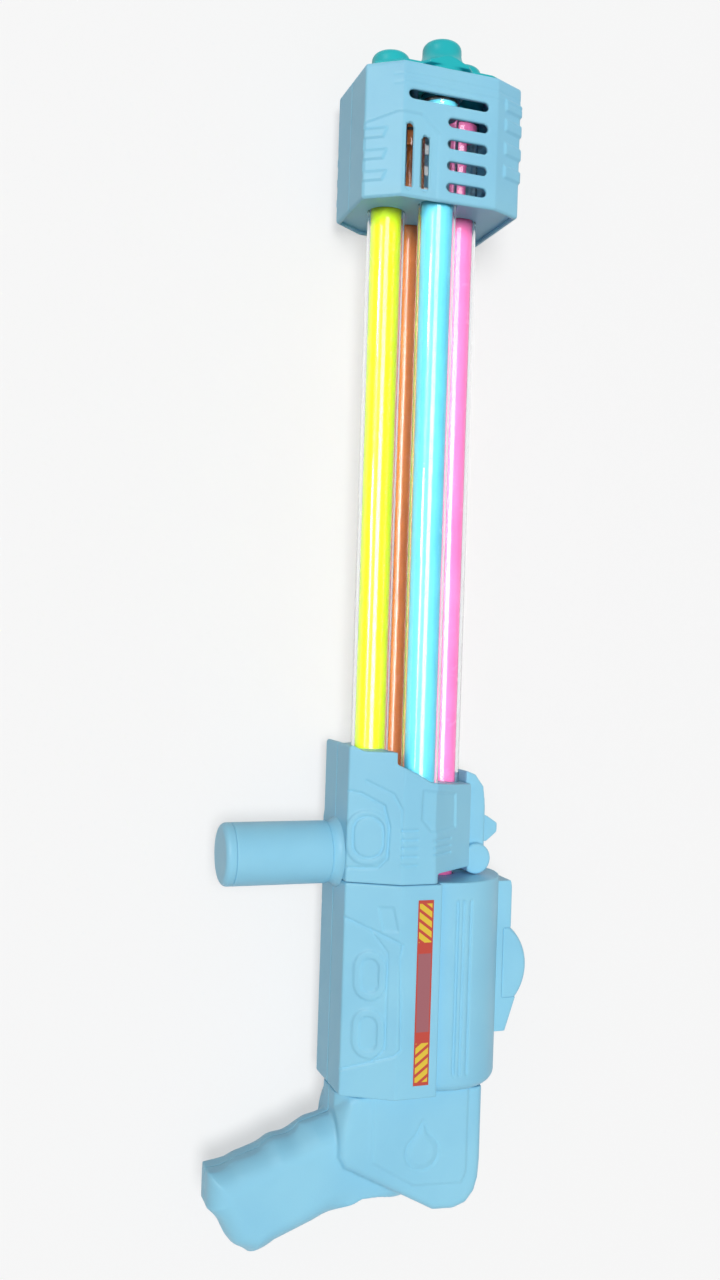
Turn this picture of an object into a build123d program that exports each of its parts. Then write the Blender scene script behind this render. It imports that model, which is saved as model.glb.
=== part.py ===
from build123d import *
import os

# Multi-barrel pull-and-push water squirter, lying on its right side.
# +Y runs to the nozzles, +X to the sights, and +Z to the squirter's left side, which faces up.
# Places are worked out from the middle of the barrel bundle, with Y = 0 near the object's middle.
# At the end everything is shifted so that the origin is under the middle of the finished box.
# All sizes are in millimetres.

# Barrels, rods and pistons
ring_radius = 19.0       # bundle centre to each barrel's axis
barrel_d = 18.4
barrel_wall = 1.0
barrel_length = 371.2
rod_d = 14.8
rod_wall = 1.8
rod_plug = 14.0          # solid length at each end of a rod
stem_d = 7.0             # thin neck between the coloured rod and its piston
piston_length = 16.0
piston_setback = 3.0     # barrel's front end to the piston's front face
rod_setback = 57.2       # barrel's front end to the coloured rod's front end
seal_section = 1.6
seal_squeeze = 0.06      # radial gap between a seal and its barrel
piston_clearance = 0.25
rod_clearance = 0.08     # radial running gap of a rod in its bush
hole_clearance = 0.6     # radial gap of a rod in the housings' walls
bush_length = 12.0
stop_gap = 2.0           # piston to bush at full pull

# Fits within one half
fit_gap = 0.15
plate_bite = 1.0         # depth that a plate's rim enters its groove in the shells

# Shells
shell_wall = 2.2
side_skin = 2.8          # from a side barrel to the outside of the head and the housings
seam_y = -115.0          # rear face of the front half
seam_gap = 0.3           # running gap between the two halves when closed

# Head
head_length = 63.5
head_half_height = 39.5
head_offset = 1.0        # head's middle above the bundle's
head_chamfer_x = 15.5
head_chamfer_low = 11.0  # depth of the chamfer on the underside
head_chamfer_high = 7.0  # and on the sights' side
head_edge = 1.6
head_recess = 2.0        # rear rim to the bulkhead
head_plate = 3.0
slot_width = 4.3
slot_rear = 7.4          # rear rim to the last cross slot's middle
slot_right_end = 20.3    # X of every cross slot's upper end
head_screw_back = 19.0   # front face to the head's front screws
head_screw_lead = 16.5   # bulkhead to the head's rear screws
long_slot_back = 15.3    # front face to the long slot's middle
long_slot_length = 40.8
short_slot_length = 20.6
short_slot_count = 4
barrel_slot_width = 3.8
barrel_slot_x = (-19.4, -11.2)
barrel_slot_lengths = (31.0, 26.0)
barrel_slot_rear = 3.6   # rear rim to the near ends of the slots along the barrels

# Nozzle cap
cap_plate = 3.0
cap_inset = 5.0
flare_inset = 1.0        # the flared bases stay this far inside the head's outline
nozzle_height = 12.7     # above the cap's plate
nozzle_r = 9.4
nozzle_base_r = 14.6
nozzle_flare = 7.6
nozzle_round = 3.4
orifice_r = 1.2
orifice_depth = 5.0
nozzle_bore_r = 5.0
socket_wall = 1.6
socket_length = 9.8
socket_seat = 0.3        # socket's shoulder behind the cap's plate
seal_ring = 1.5          # rubber ring between a barrel and its socket's shoulder

# Front housing, as forward distances from the seam
belly = 35.4             # underside below the bundle's middle
belly_half = 18.0        # half width of the flat underside
slope_top = -12.0        # X where the lower slope meets the side
shoulder_x = 5.0         # X where the side meets the upper slope
top_x = 30.0
top_half = 14.0
nose_low = 66.0          # seam to the front edge at the underside
nose_high = 45.0         # seam to the front edge at the top
nose_outline = [(-29.0, 62.0), (-15.0, 62.0), (-15.0, 56.5), (-5.0, 52.0), (2.0, 48.0), (18.0, 46.0)]
notch_x = 7.0            # X where the rear face steps forward to leave the gap
front_screw_forwards = (34.0, 54.0)
top_notch = 4.5          # depth of the open gap before the drum
bulkhead = 5.0
housing_edge = 1.5

# Rail, its round boss and the front sight
rail_half = 8.0
rail_height = 11.0
rail_front = 51.0
rail_ramp = [(5.0, 2.0), (9.5, 8.0), (11.0, 19.0)]   # height and setback along its front ramp
rail_edge = 1.5
boss_rise = 1.6          # boss's top above the rail's top
boss_edge = 0.8
boss_r = 7.6
boss_half = 12.0
sight_bump_y = 22.0      # seam to the front sight's middle
sight_bump_length = 14.0
sight_bump_height = 8.4
sight_bump_half = 4.5
sight_bump_edge = 0.8

# Side handle
handle_r = 15.0
handle_length = 51.5
handle_axis = 11.4       # seam to the handle's axis
handle_wall = 2.4
handle_root = 4.0
handle_step = 1.6        # the tube is this much thinner inside its collar
collar_r = 17.0
collar_height = 4.8
collar_wall = 0.9        # collar's wall at its thin end
collar_flare = 0.22      # share of the flare that is left halfway along the collar
cap_height = 5.0
cap_round = 3.0

# Middle housing and drum
mid_length = 100.7
drum_base = 9.0          # X of the flange that the drum cover sits on
flange = 1.8
flange_reach = 9.0
drum_r = 29.0
drum_centre = 21.0
drum_corner = 5.0
flute_r = 0.9
flute_sink = 0.35        # share of a flute's radius that its axis stands off the drum
flute_angles = (-6.0, 1.0, 8.0)
flute_end = 9.0
drum_screw_rise = 15.0   # above the drum's axis
drum_screw_backs = (18.0, 82.0)
mid_screw_x = -24.0
mid_screw_end = 12.0     # from the middle housing's ends to its outer screws
yoke_screw_back = 14.0   # behind the yoke
oval_length = 22.8
oval_width = 15.0
oval_rim = 3.1
oval_height = 0.8
oval_places = (42.8, 70.0)   # behind the middle housing's front face
oval_pitch_in = 13.0         # up the slope from the underside's edge
label_length = 87.4
label_width = 7.8
label_back = 7.0
label_x = 0.8
label_depth = 0.4
label_gap = 0.1
yoke_setback = 34.7
yoke_thickness = 6.0
rib = 2.0
rib_height = 3.0

# Rear sight, on top of the drum
sight_half = 8.0
sight_block_top = 57.4
sight_front_back = 4.2       # behind the middle housing's front face
sight_front_length = 24.0
dome_length = 35.0
dome_top = 66.2
sight_rear_length = 16.8
sight_rear_top = (61.0, 55.6)    # X behind the dome, and at the block's rear end
sight_sink = 2.0             # the block's feet reach this far down beside the drum's top
sight_bed = 3.0              # bed for the dome above the drum's top
sight_skin = 0.05            # gap between the block and the drum
sight_nose = (1.0, 4.0)      # height and length of the block's front ramp
sight_edge = 1.2
dome_edge = 2.0

# Rear housing and pistol grip
rear_gap = 1.5               # open line between the middle and the rear housing
rear_half = 20.0
rear_round = 4.0
rear_outline = [(-34.4, 28.0), (-31.5, 33.3), (6.6, 54.1), (14.5, 58.5), (25.0, 59.2), (32.0, 57.0),
                (36.5, 51.5), (38.4, 45.0), (39.0, 36.0)]   # X, and distance behind the front face
spigot_half = 15.5
spigot_low = -27.0
spigot_high = 30.0
spigot_lip = 2.0
grip_half = 15.5
grip_round = 11.0
grip_tilt = 15.0             # degrees that the grip leans back
grip_width = 50.0
grip_middle = (-57.0, 44.0)  # a point on the grip's axis, as in the outlines
finger_wave = [(-30.0, 1.1), (-37.7, 11.2), (-45.7, 12.8), (-50.4, 17.2), (-55.3, 20.7), (-63.0, 21.8),
               (-68.9, 25.7), (-79.2, 29.1), (-84.9, 31.5), (-94.6, 32.7)]
grip_end = [(-94.6, 49.2), (-89.0, 55.5), (-83.1, 65.7), (-77.3, 69.9), (-72.5, 73.5), (-66.7, 72.2)]
grip_back = [(-61.4, 68.3), (-43.2, 61.0), (-21.0, 50.4), (-12.0, 50.6), (2.0, 54.0), (4.0, 40.0), (-10.0, 22.5)]
grip_steps = 12              # straight lines that stand for each curve of the grip's hollow
rear_screws = [(24.0, 44.0), (-22.0, 24.0), (-52.0, 40.0), (-80.0, 50.0)]

# Screws
screw_r = 1.25
screw_head_r = 2.6
screw_head = 1.8
screw_seat = 14.0            # depth of a screw's seat from the split plane
screw_tip = 10.0             # length of a screw past the split plane
screw_gap = 0.06
boss_wall_r = 2.6
seat_wall_r = 4.2
boss_bite = 0.4          # depth that a boss beside a wall sinks into it
end_screw_length = 9.0

# Worked-out places
BIG = 2000.0
barrel_r = barrel_d / 2
bore_r = barrel_r - barrel_wall
side_half = ring_radius + barrel_r + side_skin   # half width of the head and the housings
rod_r = rod_d / 2
socket_r = barrel_r + fit_gap + socket_wall
bulkhead_rear_y = seam_y + top_notch + shell_wall + 2 * fit_gap
barrel_rear_y = bulkhead_rear_y + bulkhead
barrel_front_y = barrel_rear_y + barrel_length
bush_front_y = barrel_rear_y + bush_length
socket_shoulder_y = barrel_front_y + seal_ring
head_front_y = socket_shoulder_y + socket_seat
head_rear_y = head_front_y - head_length
nozzle_top_y = head_front_y + cap_plate + nozzle_height
piston_front_y = barrel_front_y - piston_setback
piston_rear_y = piston_front_y - piston_length
rod_front_y = barrel_front_y - rod_setback
travel = piston_rear_y - bush_front_y - stop_gap
mid_front_y = seam_y - seam_gap
mid_rear_y = mid_front_y - mid_length
yoke_front_y = mid_front_y - yoke_setback
yoke_rear_y = yoke_front_y - yoke_thickness
rear_front_y = mid_rear_y - rear_gap
handle_y = seam_y + handle_axis
BARRELS = {"lime": (-ring_radius, 0), "orange": (0, -ring_radius),
           "blue": (0, ring_radius), "pink": (ring_radius, 0)}


# Shape helpers

def outline(points, inset=0.0):
    """Flat face inside straight lines, moved in by inset."""
    face = make_face(Polyline(*points, close=True))
    return offset(face, amount=-inset, kind=Kind.INTERSECTION) if inset else face


def across(points, y_low, y_high, inset=0.0):
    """Prism along the barrels from an outline of (X, Z) points."""
    plane = Plane(origin=(0, y_low, 0), x_dir=(1, 0, 0), z_dir=(0, -1, 0))
    return extrude(plane * outline(points, inset), amount=y_high - y_low, dir=(0, 1, 0))


def side_on(points, half, inset=0.0):
    """Prism across the squirter from an outline of (X, Y) points, with half its width each side."""
    face = Pos(0, 0, -half) * outline(points, inset)
    return extrude(face, amount=2 * half, dir=(0, 0, 1))


def bar_y(x, z, radius, y_low, y_high):
    """Round bar along the barrels."""
    return Pos(x, (y_low + y_high) / 2, z) * Rot(90, 0, 0) * Cylinder(radius, y_high - y_low)


def bar_z(x, y, radius, z_low, z_high):
    """Round bar across the squirter."""
    return Pos(x, y, (z_low + z_high) / 2) * Cylinder(radius, z_high - z_low)


def bar_x(y, z, radius, x_low, x_high):
    """Round bar in the up and down direction."""
    return Pos((x_low + x_high) / 2, y, z) * Rot(0, 90, 0) * Cylinder(radius, x_high - x_low)


def block(x_low, x_high, y_low, y_high, z_low, z_high):
    """Plain block between two corners."""
    centre = ((x_low + x_high) / 2, (y_low + y_high) / 2, (z_low + z_high) / 2)
    return Pos(*centre) * Box(x_high - x_low, y_high - y_low, z_high - z_low)


def mirrored(points):
    """Both sides of a section, from the (X, Z) points of its left side, lowest first."""
    return list(points) + [(x, -z) for x, z in reversed(points)]


def left_of(solid):
    """The half of a solid on the left of the split plane."""
    return solid & block(-BIG, BIG, -BIG, BIG, 0, BIG)


def right_of(solid):
    """The half of a solid on the right of the split plane."""
    return solid & block(-BIG, BIG, -BIG, BIG, -BIG, 0)


def barrels_wide(radius, y_low, y_high):
    """Four round bars on the barrels' axes."""
    return [bar_y(x, z, radius, y_low, y_high) for x, z in BARRELS.values()]


def screw(x, y):
    """Self-tapping screw across the split plane, driven from the right side."""
    shank = bar_z(x, y, screw_r, -screw_seat, screw_tip)
    return shank + bar_z(x, y, screw_head_r, -screw_seat - screw_head, -screw_seat)


def screwed(shell, outer, places):
    """A hollow housing with a boss, a seat and a hole for each screw."""
    for x, y in places:
        post = bar_z(x, y, boss_wall_r, -screw_seat, side_half)
        seat = bar_z(x, y, seat_wall_r, -side_half, -screw_seat + shell_wall)
        shell += (post + seat) & outer
    for x, y in places:
        shell -= bar_z(x, y, screw_r + screw_gap, -screw_seat, screw_tip + fit_gap)
        shell -= bar_z(x, y, screw_head_r + screw_gap, -side_half, -screw_seat)
    return shell


# Head

head_section = mirrored([
    (head_offset - head_half_height, side_half - head_chamfer_low),
    (head_offset - head_half_height + head_chamfer_x, side_half),
    (head_offset + head_half_height - head_chamfer_x, side_half),
    (head_offset + head_half_height, side_half - head_chamfer_high)])
head_screw_x = head_half_height - shell_wall - seat_wall_r + boss_bite
head_screw_stations = (head_front_y - head_screw_back, head_rear_y + head_recess + head_plate + head_screw_lead)
head_screw_places = [(head_offset + side * head_screw_x, y) for side in (-1, 1) for y in head_screw_stations]
slot_pitch = (head_length - long_slot_back - slot_rear) / short_slot_count


def head_slots():
    """Cutters for the slots through both sides of the head."""
    deep = side_half + 1.0
    cuts = []
    long_y = head_front_y - long_slot_back
    long_x = slot_right_end - long_slot_length / 2
    cuts.append(Pos(long_x, long_y) * SlotOverall(long_slot_length, slot_width))
    short_x = slot_right_end - short_slot_length / 2
    for row in range(short_slot_count):
        y = long_y - slot_pitch * (row + 1)
        cuts.append(Pos(short_x, y) * SlotOverall(short_slot_length, slot_width))
    for x, length in zip(barrel_slot_x, barrel_slot_lengths):
        y = head_rear_y + barrel_slot_rear + length / 2
        cuts.append(Pos(x, y) * Rot(0, 0, 90) * SlotOverall(length, barrel_slot_width))
    return [extrude(Pos(0, 0, -deep) * cut, amount=2 * deep, dir=(0, 0, 1)) for cut in cuts]


def head_parts():
    """The two head shells and the bulkhead between them."""
    outer = across(head_section, head_rear_y, head_front_y)
    outer = fillet(outer.edges(), head_edge)
    cavity = across(head_section, head_rear_y - 1, head_front_y - shell_wall, shell_wall)
    plate_low = head_rear_y + head_recess
    plate_high = plate_low + head_plate
    plate = across(head_section, plate_low, plate_high, shell_wall - plate_bite + fit_gap)
    cavity += across(head_section, plate_low - fit_gap, plate_high + fit_gap, shell_wall - plate_bite)
    shell = screwed(outer - cavity, outer, head_screw_places)
    shell -= barrels_wide(socket_r + fit_gap, head_front_y - socket_length - fit_gap, head_front_y + 1)
    shell -= head_slots()
    plate -= barrels_wide(barrel_r + fit_gap, plate_low - 1, plate_high + 1)
    return {"head_shell_left": left_of(shell), "head_shell_right": right_of(shell),
            "head_bulkhead": plate}


def nozzle_profile():
    """Half section of one nozzle, turned round its barrel's axis."""
    base_y = head_front_y + cap_plate / 2
    flare_y = head_front_y + cap_plate + nozzle_flare
    edges = Polyline((0, nozzle_top_y), (0, base_y), (nozzle_base_r, base_y),
                     (nozzle_base_r, head_front_y + cap_plate))
    middle = (nozzle_r + (nozzle_base_r - nozzle_r) * 0.25, head_front_y + cap_plate + nozzle_flare * 0.4)
    edges += ThreePointArc((nozzle_base_r, head_front_y + cap_plate), middle, (nozzle_r, flare_y))
    edges += Line((nozzle_r, flare_y), (nozzle_r, nozzle_top_y - nozzle_round))
    edges += RadiusArc((nozzle_r, nozzle_top_y - nozzle_round),
                       (nozzle_r - nozzle_round, nozzle_top_y), -nozzle_round)
    edges += Line((nozzle_r - nozzle_round, nozzle_top_y), (0, nozzle_top_y))
    return make_face(edges)


def nozzle_cap():
    """Front cap with four nozzles and, behind its plate, four sockets for the barrels."""
    cap = across(head_section, head_front_y, head_front_y + cap_plate, cap_inset)
    turned = revolve(nozzle_profile(), axis=Axis.Y)
    for x, z in BARRELS.values():
        cap += Pos(x, 0, z) * turned
        cap += bar_y(x, z, socket_r, head_front_y - socket_length, head_front_y + 1)
    cap &= across(head_section, head_front_y - socket_length, nozzle_top_y, flare_inset)
    for x, z in BARRELS.values():
        cap -= bar_y(x, z, barrel_r + fit_gap, head_front_y - socket_length - 1, socket_shoulder_y)
        cap -= bar_y(x, z, nozzle_bore_r, socket_shoulder_y - 1, nozzle_top_y - orifice_depth)
        cap -= bar_y(x, z, orifice_r, nozzle_top_y - orifice_depth - 1, nozzle_top_y + 1)
    return cap


def nozzle_seals():
    """Four rubber rings that seal the barrels against the cap."""
    rings = []
    for x, z in BARRELS.values():
        ring = bar_y(x, z, barrel_r, barrel_front_y, socket_shoulder_y)
        rings.append(ring - bar_y(x, z, bore_r, barrel_front_y - 1, socket_shoulder_y + 1))
    return rings


# Barrels, rods and pistons

def barrel(x, z):
    """One clear barrel."""
    tube = bar_y(x, z, barrel_r, barrel_rear_y, barrel_front_y)
    return tube - bar_y(x, z, bore_r, barrel_rear_y - 1, barrel_front_y + 1)


def barrel_bushes():
    """Four rings in the barrels' rear ends that guide the rods and stop the pistons."""
    rings = []
    for x, z in BARRELS.values():
        ring = bar_y(x, z, bore_r, barrel_rear_y, bush_front_y)
        rings.append(ring - bar_y(x, z, rod_r + rod_clearance, barrel_rear_y - 1, bush_front_y + 1))
    return rings


def plunger(x, z):
    """Hollow rod with a thin neck and a grooved piston head."""
    rod = bar_y(x, z, rod_r, yoke_front_y, rod_front_y)
    rod -= bar_y(x, z, rod_r - rod_wall, yoke_front_y + rod_plug, rod_front_y - rod_plug)
    rod -= bar_y(x, z, screw_r + screw_gap, yoke_front_y - 1, yoke_front_y + end_screw_length + fit_gap)
    stem = bar_y(x, z, stem_d / 2, rod_front_y, piston_rear_y)
    head = bar_y(x, z, bore_r - piston_clearance, piston_rear_y, piston_front_y)
    groove_low = piston_front_y - piston_length / 2 - seal_section / 2
    groove = bar_y(x, z, BIG / 10, groove_low, groove_low + seal_section)
    groove -= bar_y(x, z, bore_r - seal_section, groove_low - 1, groove_low + seal_section + 1)
    return rod + stem + (head - groove)


def piston_seals():
    """Four rubber rings in the pistons' grooves."""
    rings = []
    low = piston_front_y - piston_length / 2 - seal_section / 2
    for x, z in BARRELS.values():
        ring = bar_y(x, z, bore_r - seal_squeeze, low, low + seal_section)
        rings.append(ring - bar_y(x, z, bore_r - seal_section, low - 1, low + seal_section + 1))
    return rings


# Front housing

front_section = mirrored([(-belly, belly_half), (slope_top, side_half), (shoulder_x, side_half),
                          (top_x, top_half)])
front_side = [(-belly - 1, seam_y), (-belly - 1, seam_y + nose_low)]
front_side += [(x, seam_y + forward) for x, forward in nose_outline]
front_side += [(top_x + 1, seam_y + nose_high), (top_x + 1, seam_y + top_notch),
               (notch_x, seam_y + top_notch), (notch_x, seam_y)]
front_screw_x = -belly + shell_wall + boss_wall_r - 3 * boss_bite
front_screw_places = [(front_screw_x, seam_y + forward) for forward in front_screw_forwards]


def front_parts():
    """The two front housing shells and the plate that holds the barrels' rear ends."""
    outer = across(front_section, seam_y - 1, seam_y + nose_low + 1) & side_on(front_side, side_half + 1)
    outer = fillet(outer.edges().group_by(Axis.Y)[-1], housing_edge)
    cavity = across(front_section, seam_y - 2, seam_y + nose_low + 2, shell_wall)
    cavity &= side_on(front_side, side_half, shell_wall)
    shell = outer - cavity
    shell = screwed(shell, outer, front_screw_places)
    plate_high = bulkhead_rear_y + bulkhead
    plate_inset = shell_wall - plate_bite
    plate = across(front_section, bulkhead_rear_y, plate_high, plate_inset + fit_gap)
    shell -= across(front_section, bulkhead_rear_y - fit_gap, plate_high + fit_gap, plate_inset)
    shell -= barrels_wide(barrel_r + fit_gap, barrel_rear_y, seam_y + nose_low + 2)
    shell -= barrels_wide(rod_r + hole_clearance, seam_y - 1, barrel_rear_y)
    shell -= bar_x(handle_y, 0, screw_r + screw_gap, -belly - 1, -belly + shell_wall + 1)
    plate -= barrels_wide(rod_r + hole_clearance, bulkhead_rear_y - 1, plate_high + 1)
    screw_room = bar_x(handle_y, 0, screw_head_r + 2 * fit_gap, -belly, -belly + 2 * shell_wall + screw_head)
    plate -= screw_room
    return {"front_body_left": left_of(shell), "front_body_right": right_of(shell),
            "front_bulkhead": plate}


def top_rail():
    """Ridge on the front housing that ends in a round boss."""
    top = top_x + rail_height
    low_y = seam_y + top_notch
    ramp = [(top_x + rise, seam_y + rail_front - back) for rise, back in rail_ramp]
    rail = side_on([(top_x, low_y), (top_x, seam_y + rail_front)] + ramp + [(top, low_y)], rail_half)
    rail = fillet(rail.edges().filter_by(Axis.Z, reverse=True).group_by(Axis.X)[-1], rail_edge)
    boss_x = top + boss_rise - boss_r
    boss_y = seam_y + boss_r + fit_gap
    rail -= bar_z(boss_x, boss_y, boss_r, -boss_half, boss_half)
    boss = bar_z(boss_x, boss_y, boss_r, -boss_half, boss_half)
    boss = chamfer(boss.edges(), boss_edge)
    rail += boss
    under = block(-BIG, top_x, -BIG, BIG, -BIG, BIG)
    return rail - under


def front_sight():
    """Small stepped bump on the rail."""
    base = top_x + rail_height
    y = seam_y + sight_bump_y
    half = sight_bump_length / 2
    bump = side_on([(base, y - half), (base, y + half), (base + sight_bump_height * 0.35, y + half * 0.8),
                    (base + sight_bump_height, y + half * 0.3), (base + sight_bump_height, y - half * 0.3),
                    (base + sight_bump_height * 0.3, y - half)], sight_bump_half)
    return fillet(bump.edges().group_by(Axis.X)[-1], sight_bump_edge)


# Side handle

def collar_profile(neck_r):
    """Half section of the collar, which flares out to the housing, turned round the handle's axis."""
    root, tip = -belly, -belly - collar_height
    thin_r = neck_r + collar_wall
    middle_r = thin_r + (collar_r - thin_r) * collar_flare
    edges = Polyline((tip, handle_y + thin_r), (tip, handle_y + neck_r), (root, handle_y + neck_r),
                     (root, handle_y + collar_r))
    edges += ThreePointArc((root, handle_y + collar_r), ((root + tip) / 2, handle_y + middle_r),
                           (tip, handle_y + thin_r))
    return make_face(edges)


def side_handle():
    """Stub handle for the left hand: a tube, its root collar, its end cap and its screw."""
    root = -belly
    tube_low = root - handle_length
    neck_r = handle_r - handle_step
    tube = bar_x(handle_y, 0, handle_r, tube_low, root - collar_height)
    tube += bar_x(handle_y, 0, neck_r, root - collar_height - 1, root)
    tube -= bar_x(handle_y, 0, handle_r - handle_wall, tube_low - 1, root - handle_root)
    post_r = screw_r + shell_wall
    tube += bar_x(handle_y, 0, post_r, root - handle_root - end_screw_length, root)
    tube -= bar_x(handle_y, 0, screw_r + screw_gap, root - handle_root - end_screw_length + 1, root + 1)
    collar = revolve(collar_profile(neck_r), axis=Axis((0, handle_y, 0), (1, 0, 0)))
    cap = bar_x(handle_y, 0, handle_r, tube_low - cap_height, tube_low)
    cap = fillet(cap.edges().group_by(Axis.X)[0], cap_round)
    spigot = bar_x(handle_y, 0, handle_r - handle_wall - fit_gap, tube_low, tube_low + cap_height)
    cap += spigot - bar_x(handle_y, 0, handle_r - 2 * handle_wall, tube_low - 1, tube_low + cap_height + 1)
    seat = -belly + shell_wall
    fixing = bar_x(handle_y, 0, screw_r, root - handle_root - end_screw_length + 1 + fit_gap, seat)
    fixing += bar_x(handle_y, 0, screw_head_r, seat, seat + screw_head)
    return {"side_handle_grip": tube, "side_handle_collar": collar, "side_handle_cap": cap,
            "side_handle_screw": fixing}


# Middle housing, drum and label

slope_rise = side_half - belly_half
slope_run = slope_top + belly
slope_normal = (-slope_rise, 0, slope_run)
mid_section = mirrored([(-belly, belly_half), (slope_top, side_half), (drum_base, side_half)])
mid_screw_places = [(front_screw_x, mid_front_y - mid_screw_end), (mid_screw_x, mid_rear_y + mid_screw_end),
                    (mid_screw_x, yoke_rear_y - yoke_screw_back)]
spigot_section = mirrored([(spigot_low, spigot_half), (spigot_high, spigot_half)])


def slope_face(along_slope, y):
    """Plane on the left lower slope, with its X along the barrels."""
    length = (slope_rise ** 2 + slope_run ** 2) ** 0.5
    part = along_slope / length
    origin = (-belly + slope_run * part, y, belly_half + slope_rise * part)
    return Plane(origin=origin, x_dir=(0, 1, 0), z_dir=slope_normal)


def oval_rims():
    """Raised oval rims on both lower slopes of the middle housing."""
    rims = []
    for back in oval_places:
        plane = slope_face(oval_pitch_in, mid_front_y - back)
        ring = SlotOverall(oval_length, oval_width)
        ring -= SlotOverall(oval_length - 2 * oval_rim, oval_width - 2 * oval_rim)
        rim = extrude(plane * ring, amount=oval_height)
        rims += [rim, mirror(rim, about=Plane.XY)]
    return rims


def mid_parts():
    """The two middle housing shells."""
    outer = across(mid_section, mid_rear_y, mid_front_y)
    cavity = across(mid_section, mid_rear_y + shell_wall, mid_front_y - shell_wall, shell_wall)
    cavity -= block(drum_base - flange, BIG, -BIG, BIG, -BIG, BIG)
    inside = side_half - flange_reach
    cavity += block(0, drum_base + 1, mid_rear_y + shell_wall, mid_front_y - shell_wall, -inside, inside)
    shell = outer - cavity
    for y in (yoke_front_y + fit_gap, yoke_rear_y - rib - fit_gap):
        ring = across(mid_section, y, y + rib, shell_wall)
        ring -= across(mid_section, y - 1, y + rib + 1, shell_wall + rib_height)
        shell += ring - block(0, BIG, -BIG, BIG, -inside, inside)
    shell = screwed(shell, outer, mid_screw_places)
    shell -= barrels_wide(rod_r + hole_clearance, yoke_front_y - 1, mid_front_y + 1)
    shell -= across(spigot_section, mid_rear_y - 1, mid_rear_y + shell_wall + 1, -fit_gap)
    for side in (-1, 1):
        place = Pos(label_x, mid_front_y - label_back - label_length / 2, side * side_half)
        shell -= place * Box(label_width + 2 * label_gap, label_length + 2 * label_gap, 2 * label_depth)
    shell += oval_rims()
    return {"mid_body_left": left_of(shell), "mid_body_right": right_of(shell)}


def labels():
    """Sticker in the shallow pocket on each side."""
    y = mid_front_y - label_back - label_length / 2
    z = side_half - label_depth / 2
    sticker = Pos(label_x, y, z) * Box(label_width, label_length, label_depth)
    return {"label_left": sticker, "label_right": mirror(sticker, about=Plane.XY)}


def yoke():
    """Cross plate that the four rods are screwed to."""
    low = mirrored([(-belly, belly_half), (slope_top, side_half), (drum_base - flange, side_half)])
    plate = across(low, yoke_rear_y, yoke_front_y, shell_wall + fit_gap)
    inside = side_half - flange_reach - 1.0
    plate += across(mirrored([(0, inside), (drum_base, inside), (ring_radius + rod_r + 2, rod_r + 3)]),
                    yoke_rear_y, yoke_front_y)
    for x, z in BARRELS.values():
        plate -= bar_y(x, z, screw_r + screw_gap, yoke_rear_y - 1, yoke_front_y + 1)
    return plate


def rod_end_screws():
    """Four screws from the yoke into the rods."""
    screws = []
    for x, z in BARRELS.values():
        shank = bar_y(x, z, screw_r, yoke_rear_y, yoke_front_y + end_screw_length)
        screws.append(shank + bar_y(x, z, screw_head_r, yoke_rear_y - screw_head, yoke_rear_y))
    return screws


drum_screw_places = [(drum_centre + drum_screw_rise, mid_front_y - back) for back in drum_screw_backs]


def drum_covers():
    """Fluted half-round cover, split down the middle."""
    above = block(drum_base, BIG, -BIG, BIG, -BIG, BIG)
    outer = bar_y(drum_centre, 0, drum_r, mid_rear_y, mid_front_y)
    outer = fillet(outer.edges().group_by(Axis.Y)[0], drum_corner) & above
    for angle in flute_angles:
        groove = Pos(drum_centre, 0, 0) * Rot(0, angle, 0) * bar_y(
            0, drum_r + flute_r * flute_sink, flute_r, mid_rear_y + flute_end, mid_front_y - flute_end)
        outer -= [groove, mirror(groove, about=Plane.XY)]
    cavity = bar_y(drum_centre, 0, drum_r - shell_wall, mid_rear_y + shell_wall, mid_front_y - shell_wall)
    shell = outer - cavity
    shell = screwed(shell, outer, drum_screw_places)
    shell -= barrels_wide(rod_r + hole_clearance, yoke_front_y - 1, mid_front_y + 1)
    shell -= across(spigot_section, mid_rear_y - 1, mid_rear_y + shell_wall + 1, -fit_gap)
    return {"drum_cover_left": left_of(shell), "drum_cover_right": right_of(shell)}


# Rear sight

sight_front_y = mid_front_y - sight_front_back
dome_front_y = sight_front_y - sight_front_length
dome_rear_y = dome_front_y - dome_length
sight_rear_y = dome_rear_y - sight_rear_length


def rear_sight():
    """Sight block that straddles the drum, and the domed cover that sits in it."""
    drum = bar_y(drum_centre, 0, drum_r + sight_skin, -BIG, BIG)
    low = drum_centre + drum_r - sight_sink
    bed = drum_centre + drum_r + sight_bed
    nose_x, nose_back = sight_block_top - sight_nose[0], sight_front_y - sight_nose[1]
    base = side_on([(low, sight_rear_y), (low, sight_front_y), (nose_x, sight_front_y),
                    (sight_block_top, nose_back), (sight_block_top, dome_front_y),
                    (bed, dome_front_y), (bed, dome_rear_y), (sight_rear_top[0], dome_rear_y),
                    (sight_rear_top[1], sight_rear_y)], sight_half)
    base = fillet(base.edges().filter_by(Axis.Y).group_by(Axis.X)[-1], sight_edge)
    base = fillet(base.edges().filter_by(lambda edge: edge.center().X > sight_rear_top[1] + 1)
                  .filter_by(lambda edge: sight_rear_y < edge.center().Y < dome_rear_y), sight_edge)
    middle_y = (dome_front_y + dome_rear_y) / 2
    edges = Polyline((sight_block_top, dome_front_y), (bed, dome_front_y), (bed, dome_rear_y),
                     (sight_rear_top[0], dome_rear_y))
    edges += ThreePointArc((sight_rear_top[0], dome_rear_y), (dome_top, middle_y),
                           (sight_block_top, dome_front_y))
    dome = extrude(Pos(0, 0, -sight_half) * make_face(edges), amount=2 * sight_half, dir=(0, 0, 1))
    dome = fillet(dome.edges().filter_by(GeomType.CIRCLE), dome_edge)
    return {"sight_base": base - drum, "sight_dome": dome}


# Rear housing with the pistol grip

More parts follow.
